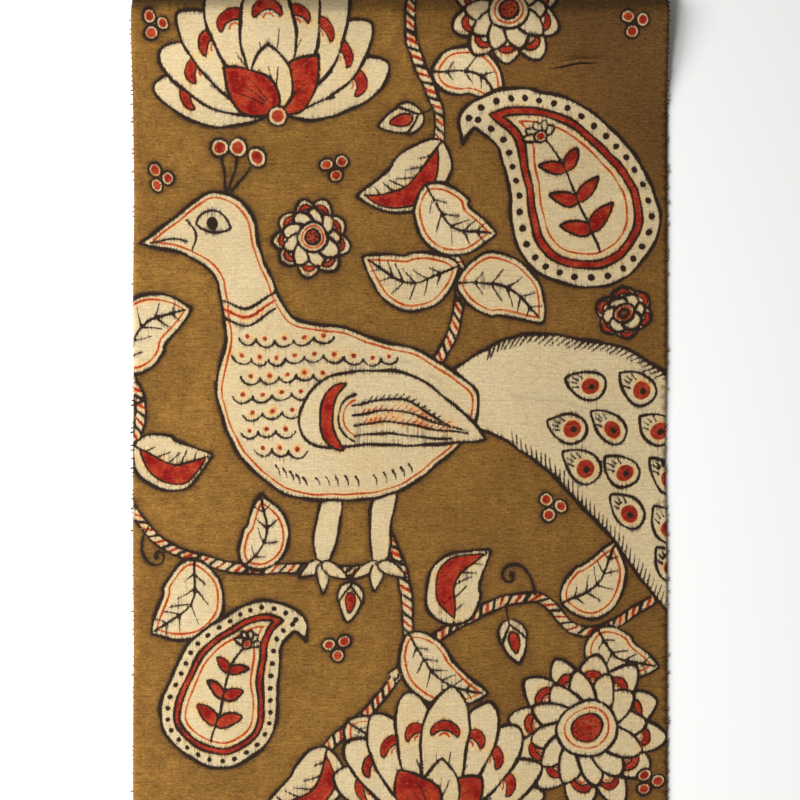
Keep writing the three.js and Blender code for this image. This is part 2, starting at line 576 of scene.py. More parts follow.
def train(put, size):
    """The closed train, with rows of eyes and a fringe along both edges."""
    spine = put(TRAIN_SPINE)
    outline = blade(spine, TRAIN_WIDTH * size, *TRAIN_ENDS)
    reserve(outline, BOLD * 1.1)
    middle = smooth(spine)
    base, tip = TRAIN_ENDS
    fullest = TRAIN_WIDEST ** base * (1 - TRAIN_WIDEST) ** tip
    for row, share in enumerate(np.linspace(0.3, 0.93, 10)):
        foot, out, ahead = spot(middle, share)
        half = TRAIN_WIDTH / 2 * size * (share ** base * (1 - share) ** tip) / fullest
        for place in (-0.62, 0, 0.62) if row % 2 else (-0.34, 0.34):
            train_eye(foot + out * half * place, out, ahead, size)
    count = len(outline)
    for first, last, lean in ((0.08, 0.44, 0.9), (0.56, 0.92, -0.9)):
        hatch(outline[int(first * count): int(last * count)][::-1], 2.3, 1.35, lean)


def legs(put, size):
    for foot_x in (-6, 2):
        shin = put([[foot_x + 2, -11], [foot_x + 0.6, -17], [foot_x, -24]])
        reserve(blade(shin, 3.4 * size, 0.3, 0.35), BOLD * 0.9)
        root = put([[foot_x, -23.5]])[0]
        for toe in (-150, -95, -30):
            way = heading(toe) * size
            claw = blade([root, root + way * 2.4, root + way * 4.6], 1.9 * size, 0.5, 1)
            reserve(claw, BOLD * 0.75)


def crest(put, size):
    root = put([[-20.5, 30.5]])[0]
    for lean in (-22, 0, 24):
        way = heading(76 - lean) * size
        pen(evenly([root, root + way * 6.5]), MEDIUM)
        berry(root + way * 7.6, 1.45 * size)


def body(put, size):
    """Body, neck and head, with the beak's lines, the eye and the collar."""
    outline = smooth(put(BODY_OUTLINE))[:-1]
    reserve(outline, BOLD * 1.1, echo=ECHO)
    pen(smooth(put([[-31.5, 24.1], [-28.5, 24.4], [-26.4, 23.9]])), FINE)
    pen(smooth(put([[-26.6, 27.2], [-25.2, 24.8], [-25.6, 22.6]])), MEDIUM)
    lids = put([[-25.2, 26.4], [-22.4, 26.9], [-19.6, 26.2]])
    patch(blade(lids, 3.1 * size, 0.7, 0.8), "cream", MEDIUM)
    dot(put([[-22.6, 26.6]])[0], 0.95 * size)
    for k, dye in enumerate(("ink", "red", "ink")):
        collar = [[-20.6, 15.4 - 1.3 * k], [-17.2, 14.0 - 1.3 * k], [-13.3, 16.6 - 1.2 * k]]
        pen(smooth(put(collar)), FINE + 0.15, dye)


def scales(put, size):
    """Rows of scales on the neck and the breast, each with a red dot."""
    for row, count in enumerate(SCALE_ROWS):
        for k in range(count):
            x = -18.4 + SCALE_PITCH * k + (0 if row % 2 else 1.2) + 0.06 * row ** 2
            y = 10.2 - SCALE_PITCH * row
            pen(arc(put([[x, y]])[0], 1.5 * size, 200, 340), FINE)
            dot(put([[x, y - 0.25]])[0], 0.36 * size, "red")


def wing(put, size):
    """A shoulder with a red crescent, and long feathers."""
    reserve(blade(put(WING_SPINE), 11.4 * size, 0.5, 0.9), BOLD)
    shoulder = put([[0.0, -2.0]])[0]
    crescent(shoulder, 5.8 * size, 116, 238, 1.9 * size, FINE + 0.08)
    pen(arc(shoulder, 3.9 * size, 106, 246), MEDIUM)
    pen(arc(shoulder, 3.1 * size, 112, 240), FINE, "orange")
    for lift, far, barbs in QUILLS:
        quill = smooth(put([[-1.6, -2.3 + lift], [6, -1.9 + lift], [far, -4.1 + lift * 0.42]]))
        pen(quill, FINE + 0.08)
        if barbs:
            hatch(quill[2:-5], 1.15, 1.25, 0.8, FINE - 0.04, barbs)


def peacock(at, size):
    def put(points):
        return placed(points, at, 0.0, size)

    for part in (train, legs, crest, body, scales, wing):
        part(put, size)
    for row in BELLY_ROWS:
        for foot in at_shares(evenly(row), np.linspace(0, 1, 5)):
            dab(smooth(put([foot, foot + (0.4, -0.6), foot + (0.5, -1.3)])), FINE + 0.04)
    for line, width in SKETCH:
        pen(smooth(put(line)), width, "charcoal")


# The layout: where each motif goes on the cloth, in millimetres from its middle

# Leaves: base, tip, width, lean, and whether one half is dyed red
LEAVES = (
    ((9, 58), (-10, 46), 13, 0.2, True),
    ((6, 48), (22, 37), 14, -0.2, False),
    ((13, 30), (-9, 32), 13, 0.2, False),
    ((13, 26), (32, 17), 14, 0.2, False),
    ((-62, 6), (-47, 21), 14, 0.2, False),
    ((-60, -10), (-42, -12), 12, -0.2, True),
    ((-35, -37), (-31, -21), 11, -0.2, False),
    ((-46, -36), (-56, -53), 14, 0.2, False),
    ((2, -52), (20, -66), 12, -0.2, False),
    ((12, -51), (20, -34), 13, 0.2, True),
    ((36, -46), (48, -32), 12, -0.2, False),
    ((44, -51), (58, -60), 11, -0.2, False),
    ((7, 74), (23, 66), 11, 0.2, False),
    ((-16, -78), (-30, -92), 12, 0.2, True),
    ((-12, -72), (-4, -88), 10, 0.2, False),
)
# Buds and tendrils: base, angle in degrees and size
BUDS = (
    ((8, 66), 200, 13),
    ((-58, 0), 200, 10),
    ((24, -46), -80, 13),
    ((-10, -38), -100, 12),
)
TENDRILS = (
    ((-56, -28), 200, 10),
    ((30, -44), 60, 10),
)
# Clusters of berries: middle and turn in degrees
CLUSTERS = (
    ((-55, 84), 10),
    ((-54, 50), 0),
    ((52, 84), 20),
    ((-14, -56), 40),
    ((56, -86), 0),
    ((-15, 52), 40),
    ((34, -24), 10),
)


def compose():
    """The whole design, from what lies behind to what lies in front."""
    vine([[-20, -100], [-17, -80], [-2, -64], [2, -48], [-4, -26]])
    vine([[8, 6], [14, 26], [5, 44], [9, 64], [2, 82], [6, 100]])
    vine([[-2, -62], [14, -50], [30, -44], [42, -52], [66, -40]], 2.2)
    vine([[-66, 12], [-58, -2], [-62, -20], [-50, -34], [-30, -38], [-2, -38]], 2.2)
    for row in LEAVES:
        leaf(*row)
    lotus((-28, 65), 33, 6)
    rosette((42, -74), 18, 12, 8)
    rosette((24, 87), 12.5, 10)
    rosette((-20, 36.5), 9, 9, 6)
    rosette((50.5, 19.5), 6.2, 6, 10)
    paisley((41, 41), 53, 22)
    paisley((-40, -70), 42, -14, flip=True)
    lotus((8, -94), 30, -6)
    peacock((-8, -1), 1.52)
    for row in BUDS:
        bud(*row)
    for row in TENDRILS:
        tendril(*row)
    for row in CLUSTERS:
        cluster(*row)


# Fields: how far each point of the cloth is from each dye

WICK_STRETCH = np.array([3.2, 1.0])
# How far past a mark's own box its distances are worked out
MARGIN = 1.3 * REACH
# How many pieces of a line are measured together
RUN = 10
# How the hand wavers along x and y, and how its pressure varies, as waves over the cloth:
# the height of each, its rates along x and y, and its phase
WAVER_X = ((0.36, 0.23, 0.31, 0.7), (0.08, -0.51, 0.83, 2.1))
WAVER_Y = ((0.36, 0.28, -0.17, 1.9), (0.08, 0.91, 0.46, 0.4))
PRESSURE = ((0.19, 0.53, 0.31, 0.0), (0.14, -0.42, 0.87, 1.2))


def waves(points, table, level=0.0):
    """The sum of a table's waves at each point, over a level."""
    x, y = points.T
    for height, rate_x, rate_y, phase in table:
        level = level + height * np.sin(rate_x * x + rate_y * y + phase)
    return level


def hand_drawn(points):
    """The slight waver of a hand, the same for everything at one place."""
    return points + np.column_stack([waves(points, WAVER_X), waves(points, WAVER_Y)])


def near_box(points, path, margin):
    low, high = path.min(axis=0) - margin, path.max(axis=0) + margin
    return np.flatnonzero(np.all((points > low) & (points < high), axis=1))


def line_depth(points, path, half, closed):
    """Distance from each point to the edge of a pen line, below 0 within the line."""
    depth = np.full(len(points), REACH)
    if closed:
        path = np.vstack([path, path[:1]])
        half = np.append(half, half[0])
    for first in range(0, len(path) - 1, RUN):
        part = path[first: first + RUN + 1]
        widths = half[first: first + RUN + 1]
        near = near_box(points, part, REACH + widths.max())
        if not len(near):
            continue
        start, step = part[:-1], np.diff(part, axis=0)
        offset = points[near][:, None, :] - start[None]
        along = (offset * step).sum(axis=2) / np.maximum((step ** 2).sum(axis=1), TINY)
        share = np.clip(along, 0, 1)
        gap = np.hypot(*(offset - share[:, :, None] * step).transpose(2, 0, 1))
        gap = gap - (widths[:-1] + share * np.diff(widths))
        depth[near] = np.minimum(depth[near], gap.min(axis=1))
    return depth


def inside(points, outline):
    """Which points lie within a closed outline."""
    crossings = np.zeros(len(points), bool)
    x, y = points.T
    for (ax, ay), (bx, by) in zip(outline, np.roll(outline, -1, axis=0)):
        if ay == by:
            continue
        level = (ay > y) != (by > y)
        crossings ^= level & (x < (bx - ax) * (y - ay) / (by - ay) + ax)
    return crossings


def dye_fields(points, drawn):
    """Each dye's distance at each point: below 0 where the cloth has that dye.

    The distance named wick is the ink's, with gaps across the cloth counted WICK_STRETCH
    times, because wet ink creeps along the ends of the weave.
    """
    fields = {name: np.full(len(points), REACH) for name in (*DYES, "wick")}
    for mark in drawn:
        near = near_box(points, mark.path, MARGIN)
        if not len(near):
            continue
        here = points[near]
        if mark.half_width is None:
            depth = line_depth(here, mark.path, np.zeros(len(mark.path)), True)
            depth[inside(here, mark.path)] *= -1
            for field in fields.values():
                field[near] = np.maximum(field[near], -depth)
        else:
            depth = line_depth(here, mark.path, mark.half_width, mark.closed)
        fields[mark.dye][near] = np.minimum(fields[mark.dye][near], depth)
        if mark.dye == "ink":
            half = np.zeros(len(mark.path)) if mark.half_width is None else mark.half_width
            depth = line_depth(here * WICK_STRETCH, mark.path * WICK_STRETCH, half, mark.closed)
            fields["wick"][near] = np.minimum(fields["wick"][near], depth)
    return fields


def finished_marks():
    """The marks as the hand drew them."""
    done = []
    for mark in marks:
        half = mark.half_width
        if half is not None:
            half = half * waves(mark.path, PRESSURE, 1.0)
        done.append(Mark(mark.dye, hand_drawn(mark.path), half, mark.closed))
    return done


# The cloth's mesh: one closed shell with its points where the dyes' edges run

# The spacing of points along the cut edges, on the face, near the head and on the back
EDGE_SPACING = 0.75
FACE_SPACING = 1.35
HEAD_SPACING = 0.80
HEAD_ZONE = 8.0
BACK_SPACING = 1.35
# How far the even points keep off the cut edges, in spacings, at the ends and the sides
END_GAP = 0.6
SIDE_GAP = 0.85
# Points beside a mark: how far off its edge they run, how near a dye's edge they have to
# lie, how far they keep off the cut edges, and the cells that each keep one of them
SIDE_ROW = 0.34
LINE_REACH = 0.8
CUT_GAP = 0.35
LINE_CELL = 0.30
# Even points are left out where a line's point lies in the same cell of this size.
PLAIN_CELL = 0.62
# Rows of points along the sharp crease, from its foot side to its head side
PINCH_STEP = 0.4
PINCH_ROWS = np.arange(-0.60, 1.50, 0.12)
# Points closer than the first are one, and triangles with less area than half the second
# are left out.
SAME_POINT = 1e-6
NO_AREA = 1e-9
# The map for baked dyes: its side in lengths of the cloth, the margin at its low edges,
# the gap between the face and the back's strip, and how much of the strip is left free
MAP_SIDE = 1.01
MAP_MARGIN = 0.004
MAP_GAP = 0.014
MAP_FREE = 0.02


def rectangle_edge():
    """Points round the cloth's cut edges, anticlockwise, with the corners among them."""
    w, h = WIDTH / 2, LENGTH / 2
    corners = np.array([[-w, -h], [w, -h], [w, h], [-w, h], [-w, -h]])
    sides = []
    for start, stop in zip(corners, corners[1:]):
        count = round(np.hypot(*(stop - start)) / EDGE_SPACING)
        shares = np.linspace(0, 1, count, endpoint=False)[:, None]
        sides.append(start + (stop - start) * shares)
    return np.vstack(sides)


def staggered_grid(spacing, foot, head):
    """An even, staggered grid between two heights on the cloth."""
    w = WIDTH / 2 - SIDE_GAP * spacing
    rise = spacing * math.sqrt(3) / 2
    rows = np.linspace(foot, head, round((head - foot) / rise) + 1)
    grid = []
    for k, y in enumerate(rows):
        xs = np.linspace(-w, w, round(2 * w / spacing) + 1) + (k % 2 - 0.5) * spacing / 2
        grid.append(np.column_stack([xs, np.full(len(xs), y)]))
    return np.vstack(grid)


def plain_grid():
    """The points of the drawn face where nothing is drawn, closer together at the head."""
    h = LENGTH / 2
    body = staggered_grid(FACE_SPACING, END_GAP * FACE_SPACING - h, h - HEAD_ZONE - FACE_SPACING / 2)
    head = staggered_grid(HEAD_SPACING, h - HEAD_ZONE, h - END_GAP * HEAD_SPACING)
    return np.vstack([body, head])


def pinch_rows():
    """Rows of points along the sharp crease."""
    route = evenly(PINCH, PINCH_STEP)
    return np.vstack([route + (0, offset) for offset in PINCH_ROWS])


def first_in_cells(points, cell):
    """The first point in each cell of a square grid."""
    keys = np.round(points / cell).astype(np.int64)
    _, first = np.unique(keys[:, 0] * 100_000 + keys[:, 1], return_index=True)
    return points[np.sort(first)]


def rows_along(drawn):
    """Points down the middle and along both sides of every mark."""
    middles, flanks = [], []
    for mark in drawn:
        normals = sideways(mark.path, mark.closed)
        if mark.half_width is None:
            reach = np.full(len(mark.path), SIDE_ROW)
        else:
            middles.append(mark.path)
            reach = mark.half_width + SIDE_ROW
            if not mark.closed:
                ahead = np.column_stack([normals[:, 1], -normals[:, 0]]) * reach[:, None]
                flanks.append(np.vstack([mark.path[:1] - ahead[:1], mark.path[-1:] + ahead[-1:]]))
        flanks.append(mark.path + normals * reach[:, None])
        flanks.append(mark.path - normals * reach[:, None])
    points = np.vstack(middles + flanks)
    limit = np.array([WIDTH, LENGTH]) / 2 - CUT_GAP
    return first_in_cells(points[np.all(np.abs(points) < limit, axis=1)], LINE_CELL)


def face_points(drawn):
    """The points of the drawn face, those of the cut edges first, and the dyes there."""
    lines = rows_along(drawn)
    line_fields = dye_fields(lines, drawn)
    near = np.min([np.abs(line_fields[dye]) for dye in DYES], axis=0) < LINE_REACH
    lines = lines[near]
    fixed = np.vstack([lines, pinch_rows()])
    taken = set(map(tuple, np.round(fixed / PLAIN_CELL).astype(int)))
    plain = plain_grid()
    free = [tuple(key) not in taken for key in np.round(plain / PLAIN_CELL).astype(int)]
    rest = np.vstack([rectangle_edge(), pinch_rows(), plain[free]])
    rest_fields = dye_fields(rest, drawn)
    fields = {name: np.concatenate([rest_fields[name], line_fields[name][near]]) for name in rest_fields}
    return np.vstack([rest, lines]), fields


def triangles_of(points):
    """The points' Delaunay triangles, anticlockwise."""
    result = delaunay_2d_cdt([Vector(p) for p in points], [], [], 0, SAME_POINT, True)
    source = np.array([origin[0] for origin in result[3]])
    faces = source[np.array(result[2])]
    a, b, c = (points[faces[:, k]] for k in range(3))
    turn = (b - a)[:, 0] * (c - a)[:, 1] - (b - a)[:, 1] * (c - a)[:, 0]
    faces = faces[np.abs(turn) > NO_AREA]
    turn = turn[np.abs(turn) > NO_AREA]
    faces[turn < 0] = faces[turn < 0][:, ::-1]
    return faces


def shade_values(mesh, values):
    """Stores one number for each point of a mesh under each name."""
    for name, numbers in values.items():
        stored = mesh.attributes.new(name, "FLOAT", "POINT").data
        stored.foreach_set("value", numbers.astype(np.float32))


def add_map(mesh, name, places):
    """Stores a flat place for each point of a mesh, as a UV map."""
    corners = np.empty(len(mesh.loops), np.int64)
    mesh.loops.foreach_get("vertex_index", corners)
    layer = mesh.uv_layers.new(name=name)
    layer.uv.foreach_set("vector", places[corners].astype(np.float32).ravel())


def add_bake_map(mesh, front, back):
    """The face fills the picture that keeps the dyes, and the back the strip beside it."""
    room = LENGTH * MAP_SIDE
    middle = (WIDTH / 2, LENGTH / 2)
    front_map = (front + middle) / room + MAP_MARGIN
    back_size = (1 - WIDTH / room - MAP_FREE) / WIDTH
    back_map = (back + middle) * back_size + (WIDTH / room + MAP_GAP, MAP_MARGIN)
    add_map(mesh, "OFBake", np.vstack([front_map, back_map]))


def cut_edge(rim, below):
    """The faces of the cut edge, from the face's rim to the back's, which starts at below."""
    here = np.arange(rim)
    there = (here + 1) % rim
    return np.concatenate([
        np.column_stack([here, here + below, there + below]),
        np.column_stack([here, there + below, there]),
    ])


def link_piece(mesh):
    piece = bpy.data.objects.new(mesh.name, mesh)
    bpy.context.collection.objects.link(piece)
    return piece


def make_cloth(drawn):
    """The whole cloth as one closed shell: the drawn face, its back and the cut edge."""
    front, dyes = face_points(drawn)
    margin = LENGTH / 2 - END_GAP * BACK_SPACING
    back = np.vstack([rectangle_edge(), staggered_grid(BACK_SPACING, -margin, margin)])
    back_dyes = dye_fields(back, drawn)
    top = laid(front, THICKNESS)
    groove, lip = pinch(top[:, 0], top[:, 1])
    top[:, 2] += LIP_HEIGHT * lip - PINCH_DEPTH * groove
    under = laid(back, 0.0)
    flat_faces = np.concatenate([triangles_of(front), triangles_of(back)[:, ::-1] + len(front)])
    faces = np.concatenate([flat_faces, cut_edge(len(rectangle_edge()), len(front))])

    mesh = bpy.data.meshes.new("kalamkari")
    mesh.from_pydata((np.vstack([top, under]) * MM).tolist(), [], faces.tolist())
    mesh.polygons.foreach_set("use_smooth", np.arange(len(faces)) < len(flat_faces))
    shade_values(mesh, {name: np.concatenate([dyes[name], back_dyes[name]]) for name in dyes})
    # The groove's share is kept for the painted shade in the sharp crease.
    shade_values(mesh, {"back": np.concatenate([np.zeros(len(front)), np.ones(len(back))]),
                        "groove": np.concatenate([groove, np.zeros(len(back))])})
    add_map(mesh, "Cloth", np.vstack([front, back]))
    add_bake_map(mesh, front, back)
    return link_piece(mesh)


# The yarns' cut ends, which stand a little out of all four edges

THREAD_SIDES = 5
THREAD_RADIUS = 0.20
THREAD_UNEVENNESS = (0.7, 1.1)
# How far they stand out, from the shortest to the longest, how much fewer the long ones
# are, and how far they lean aside
THREAD_REACH = (0.04, 0.85)
THREAD_FEWER = 2.6
THREAD_LEAN = 0.60
# The rings of points along one: their share of its reach, and of the yarn's radius
THREAD_RINGS = ((-0.9, 0.8), (0.0, 1.0), (0.55, 0.85), (1.0, 0.40))
THREAD_POINTS = len(THREAD_RINGS) * THREAD_SIDES


def cut_ends():
    """Where the yarns end on the flat cloth, and the way that each one points there."""
    w, h = WIDTH / 2, LENGTH / 2
    ends = np.arange(END_PITCH / 2 - w, w, END_PITCH)
    picks = np.arange(PICK_PITCH / 2 - h, h, PICK_PITCH)
    rows = [(x, way * h, 0, way) for way in (-1, 1) for x in ends]
    rows += [(way * w, y, way, 0) for way in (-1, 1) for y in picks]
    table = np.array(rows)
    return table[:, :2], table[:, 2:]


def thread_points(roots, ways):
    """The rings of points of every stub, in rows of their own."""
    count = len(roots)
    out = np.column_stack([ways, np.zeros(count)])
    aside = np.column_stack([-ways[:, 1], ways[:, 0], np.zeros(count)])
    up = np.array([0.0, 0.0, 1.0])
    feet = laid(roots, THICKNESS / 2)
    shortest, longest = THREAD_REACH
    reach = shortest + (longest - shortest) * hand.random((count, 1)) ** THREAD_FEWER
    lean = hand.uniform(-THREAD_LEAN, THREAD_LEAN, (count, 1))
    radius = THREAD_RADIUS * hand.uniform(*THREAD_UNEVENNESS, (count, 1))
    turns = np.linspace(0, 2 * math.pi, THREAD_SIDES, endpoint=False)
    rows = []
    for share, fullness in THREAD_RINGS:
        middle = feet + (out + aside * lean * max(share, 0)) * reach * share
        for turn in turns:
            spoke = aside * math.cos(turn) + up * math.sin(turn)
            rows.append(middle + spoke * radius * fullness)
    return np.stack(rows, axis=1)


def thread_faces(count):
    """The walls and the two caps of every stub."""
    side = np.arange(THREAD_SIDES)
    after = (side + 1) % THREAD_SIDES
    quads = []
    for ring in range(len(THREAD_RINGS) - 1):
        low, high = ring * THREAD_SIDES, (ring + 1) * THREAD_SIDES
        quads.append(np.column_stack([low + side, low + after, high + after, high + side]))
    shift = (np.arange(count) * THREAD_POINTS)[:, None, None]
    walls = (np.vstack(quads)[None] + shift).reshape(-1, 4)
    caps = np.stack([side[::-1], side + THREAD_POINTS - THREAD_SIDES])
    caps = (caps[None] + shift).reshape(-1, THREAD_SIDES)
    return walls.tolist() + caps.tolist()


def make_threads(drawn):
    """All the cut ends as one mesh of short, tapered stubs with the dyes of the edge there."""
    roots, ways = cut_ends()
    points = thread_points(roots, ways).reshape(-1, 3)
    mesh = bpy.data.meshes.new("cut_threads")
    mesh.from_pydata((points * MM).tolist(), [], thread_faces(len(roots)))
    mesh.polygons.foreach_set("use_smooth", np.ones(len(mesh.polygons), bool))
    dyes = dye_fields(roots, drawn)
    shade_values(mesh, {name: np.repeat(field, THREAD_POINTS) for name, field in dyes.items()})
    add_map(mesh, "Cloth", points[:, :2])
    return link_piece(mesh)


# The finish: dyed cotton in plain weave

CREAM = (0.512, 0.403, 0.232)
STAINED_CREAM = (0.465, 0.342, 0.176)
GREY_CREAM = (0.40, 0.330, 0.215)
SPECK = (0.255, 0.205, 0.130)
GROUND = (0.211, 0.1045, 0.0222)
THIN_GROUND = tuple(1.14 * part for part in GROUND)
THICK_GROUND = tuple(0.86 * part for part in GROUND)
DARK_GROUND = (0.124, 0.0560, 0.0135)
# Denser ground dye, also the painted shade at the top right corner
DENSE_AND_SHADED_GROUND = (0.124, 0.0560, 0.0140)
PALE_GROUND = (0.36, 0.222, 0.080)
# The dark halo round the pen lines, also the painted shade along the head's edge
HALO_AND_SHADE = (0.043, 0.026, 0.0125)
RED = (0.268, 0.0190, 0.0085)
# Deep red dye, also the painted shade at the top right corner
DEEP_AND_SHADED_RED = (0.165, 0.0050, 0.0044)
THIN_RED = (0.345, 0.0480, 0.0175)
WORN_RED = (0.47, 0.180, 0.075)
ORANGE = (0.315, 0.034, 0.0105)
THIN_ORANGE = (0.44, 0.125, 0.0300)
ORANGE_GLOW = (0.585, 0.375, 0.122)
SEEPED_RED = (0.50, 0.165, 0.050)
# Pen ink, also the painted shade in the sharp crease
INK_AND_CREASE_SHADE = (0.0225, 0.0128, 0.0085)
INK_WASH = (0.130, 0.100, 0.072)
CHARCOAL = (0.33, 0.265, 0.180)
BARE_BACK = (0.42, 0.29, 0.15)
# On the back: the share of the dyes that is missing, and how far the rest has paled
BACK_LOSS = 0.42
BACK_FADE = 0.25
# How strongly the grain, with its painted shade between picks, shows in each colour, and how high the
# weave's relief stands
GROUND_GRAIN = 0.34
CREAM_GRAIN = 0.165
RED_GRAIN = 0.22
RELIEF_HEIGHT = 0.024
# How far each kind of streak and fibre lightens or darkens the yarns
GRAIN_SHARES = {"slubs": 3.4, "fibre": 6.4, "pick_streaks": 1.4, "end_streaks": 0.7}


class Shader:
    """Short names for the nodes of one material on the flat cloth, x across, y along it."""

    def __init__(self, material):
        self.tree = material.node_tree
        self.flat = self.node("UVMap", uv_map="Cloth").outputs[0]
        sides = self.node("SeparateXYZ")
        self.feed(sides, self.flat)
        self.x, self.y = sides.outputs[0], sides.outputs[1]

    def node(self, kind, **settings):
        node = self.tree.nodes.new("ShaderNode" + kind)
        for name, value in settings.items():
            setattr(node, name, value)
        return node

    def set(self, socket, value):
        if isinstance(value, bpy.types.NodeSocket):
            self.tree.links.new(value, socket)
        else:
            socket.default_value = value

    def feed(self, node, *values):
        """Gives a node its first inputs, and returns its first output."""
        for socket, value in zip(node.inputs, values):
            self.set(socket, value)
        return node.outputs[0]

    def math(self, operation, *values, clamp=False):
        return self.feed(self.node("Math", operation=operation, use_clamp=clamp), *values)

    def times(self, a, b):
        return self.math("MULTIPLY", a, b)

    def plus(self, a, b):
        return self.math("ADD", a, b)

    def less(self, a, b):
        return self.math("SUBTRACT", a, b)

    def scaled(self, value, scale, shift):
        return self.math("MULTIPLY_ADD", value, scale, shift)

    def ramp(self, value, start, stop, low=0.0, high=1.0):
        """Goes smoothly from low at start to high at stop."""
        node = self.node("MapRange", interpolation_type="SMOOTHSTEP")
        return self.feed(node, value, start, stop, low, high)

    def attribute(self, name):
        return self.node("Attribute", attribute_name=name).outputs["Fac"]

    def noise(self, place, detail, roughness):
        """Soft noise about one unit of place in size, from about 0.25 to 0.75."""
        node = self.node("TexNoise")
        self.set(node.inputs["Vector"], place)
        self.set(node.inputs["Scale"], 1.0)
        self.set(node.inputs["Detail"], detail)
        self.set(node.inputs["Roughness"], roughness)
        return node.outputs["Fac"]

    def patches(self, rate_x, rate_y, offset, detail, roughness):
        """Noise over the cloth, at rates for each millimetre."""
        node = self.node("VectorMath", operation="MULTIPLY_ADD")
        place = self.feed(node, self.flat, (rate_x, rate_y, 1), (*offset, 0))
        return self.noise(place, detail, roughness)

    def streaks(self, x, rate_x, y, rate_y, roughness):
        """Noise that follows the yarns."""
        place = self.feed(self.node("CombineXYZ"), self.times(x, rate_x), self.times(y, rate_y))
        return self.noise(place, 3.0, roughness)

    def mix(self, share, below, above):
        """Colour below, covered by the share of colour above."""
        node = self.node("Mix", data_type="RGBA")
        for index, value in ((0, share), (6, below), (7, above)):
            self.set(node.inputs[index], (*value, 1.0) if isinstance(value, tuple) else value)
        return node.outputs[2]

    def shade(self, colour, strength):
        """The colour times a strength."""
        node = self.node("VectorMath", operation="SCALE")
        self.set(node.inputs["Scale"], strength)
        return self.feed(node, colour)


def yarn_top(s, across, along, streaks):
    """Height of a yarn that lies on top: round across it and bent down along it."""
    reach = s.times(across, s.scaled(streaks, -1.1, 2.5))
    round_part = s.math("SQRT", s.math("SUBTRACT", 1.0, s.times(reach, reach), clamp=True))
    return s.times(round_part, s.scaled(s.math("COSINE", s.times(along, math.pi)), 0.5, 0.5))


def weave(s):
    """Plain weave of uneven hand-spun yarn: its relief, its grain and its fibres.

    The grain is how much lighter or darker the yarns look, with painted shade in the gaps between picks,
    about 0 and mostly within 1.
    """
    # Yarns counted across the cloth and along it, drifting a little
    drift_u = s.patches(0.30, 0.055, (7, 3), 1.0, 0.5)
    drift_v = s.patches(0.055, 0.30, (1, 9), 1.0, 0.5)
    u = s.scaled(s.x, 1 / END_PITCH, s.times(drift_u, 1.9))
    v = s.scaled(s.y, 1 / PICK_PITCH, s.times(drift_v, 2.1))
    across_end, across_pick = (s.less(s.math("FRACT", count), 0.5) for count in (u, v))
    crossing = s.plus(s.math("FLOOR", u), s.math("FLOOR", v))
    weft_on_top = s.math("FLOORED_MODULO", crossing, 2.0)
    fibre = s.patches(1.45, 4.1, (0, 0), 3.0, 0.62)
    open_weave = s.patches(0.26, 0.80, (3, 6), 2.0, 0.6)
    parts = {
        "slubs": s.streaks(s.x, 0.50, v, 2.4, 0.62),
        "fibre": fibre,
        "pick_streaks": s.streaks(s.x, 0.22, v, 1.25, 0.6),
        "end_streaks": s.streaks(u, 1.15, s.y, 0.16, 0.6),
    }
    warp = yarn_top(s, across_end, across_pick, parts["end_streaks"])
    weft = yarn_top(s, across_pick, across_end, parts["pick_streaks"])
    relief = s.plus(s.times(warp, s.less(1.0, weft_on_top)), s.times(weft, weft_on_top))
    relief = s.times(relief, s.ramp(open_weave, 0.36, 0.62, 0.25, 0.75))
    relief = s.plus(relief, s.scaled(fibre, 0.7, s.times(parts["slubs"], 1.5)))

    # Painted shade in the gaps between picks: thin darker lines, here and there.
    gap = s.math("COSINE", s.times(across_pick, 2 * math.pi))
    grain = s.times(gap, s.ramp(open_weave, 0.42, 0.68, 0.0, 0.34))
    for name, share in GRAIN_SHARES.items():
        grain = s.plus(grain, s.scaled(parts[name], share, -share / 2))
    return relief, grain, fibre


class Cotton(Shader):
    """The cloth under its dyes: its weave, its soft patches and how far each dye is."""

    def __init__(self, material):
        super().__init__(material)
        self.relief, self.grain, self.fibre = weave(self)
        self.ink, self.red, self.orange = map(self.attribute, ("ink", "red", "orange"))
        self.back = self.attribute("back")
        self.hold = self.scaled(self.back, -BACK_LOSS, 1.0)
        # Dye runs further along the ends than along the picks.
        run = self.patches(2.3, 0.42, (4, 0), 1.0, 0.6)
        self.waver = self.scaled(self.plus(run, self.fibre), 0.50, -0.50)
        self.soak = self.patches(0.30, 0.34, (0, 5), 3.0, 0.6)
        self.blotch = self.patches(0.060, 0.050, (3, 8), 3.0, 0.6)
        self.specks = self.patches(0.55, 1.5, (5, 5), 2.0, 0.7)
        # The dyes were brushed on denser towards the right, and a little towards the head. Towards the
        # top right corner the darkening is painted shade of the roll at the head.
        dense = self.times(self.ramp(self.scaled(self.y, 0.08, self.x), -45.0, 65.0), 0.50)
        self.corner = self.scaled(self.y, 0.8, self.x)
        self.denser_dye_and_corner_shade = self.scaled(self.ramp(self.corner, 56.0, 108.0), 0.40, dense)

    def dyed(self, depth, spread=1.0, edge=0.10, grown=0.0):
        """Where a dye has taken, from 0 to 1."""
        return self.ramp(self.scaled(self.waver, spread, depth), grown + edge, grown - edge)

    def held(self, share):
        return self.times(share, self.hold)

    def grained(self, colour, strength):
        return self.shade(colour, self.scaled(self.grain, strength, 1.0))


